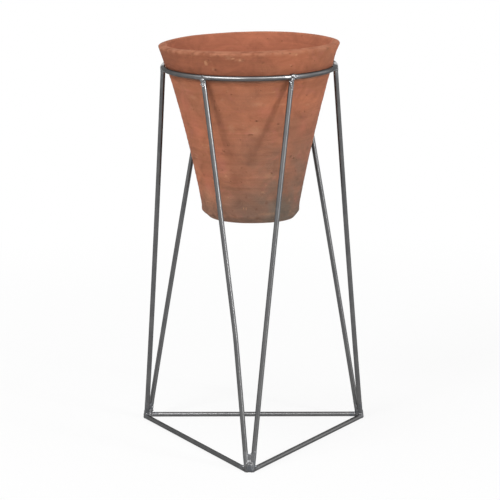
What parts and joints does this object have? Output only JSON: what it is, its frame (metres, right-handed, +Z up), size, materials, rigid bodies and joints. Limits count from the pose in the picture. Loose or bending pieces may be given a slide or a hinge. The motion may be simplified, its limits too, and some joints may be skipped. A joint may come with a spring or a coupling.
{
  "type": "planter with stand",
  "caption": "Tapered terracotta pot with a flared collar, hanging in a ring on a welded steel-rod stand with a triangular base.",
  "frame": {"origin": "point on the floor straight below the middle of the ring", "axes": "+Z up along the ring's and pot's axis; -Y towards the base's front corner; +X to the right"},
  "size_m": [0.2814, 0.2697, 0.4956],
  "materials": {
    "terracotta": "matte",
    "steel_rod": "satin",
    "steel_weld": "satin"
  },
  "bodies": {
    "stand": {"support_ring": "steel_rod", "front_left_leg": "steel_rod", "front_right_leg": "steel_rod", "right_outer_leg": "steel_rod", "right_inner_leg": "steel_rod", "left_inner_leg": "steel_rod", "left_outer_leg": "steel_rod", "right_base_rod": "steel_rod", "back_base_rod": "steel_rod", "left_base_rod": "steel_rod", "ring_seam_weld": "steel_weld", "front_left_ring_weld": "steel_weld", "front_right_ring_weld": "steel_weld", "right_outer_ring_weld": "steel_weld", "right_inner_ring_weld": "steel_weld", "left_inner_ring_weld": "steel_weld", "left_outer_ring_weld": "steel_weld", "front_corner_weld": "steel_weld", "right_corner_weld": "steel_weld", "left_corner_weld": "steel_weld"},
    "pot": {"pot": "terracotta"}
  },
  "joints": [
    {"name": "pot_lift", "type": "slide", "parent": "stand", "child": "pot", "axis": [0, 0, 1], "range_m": [0, 0.2]}
  ]
}
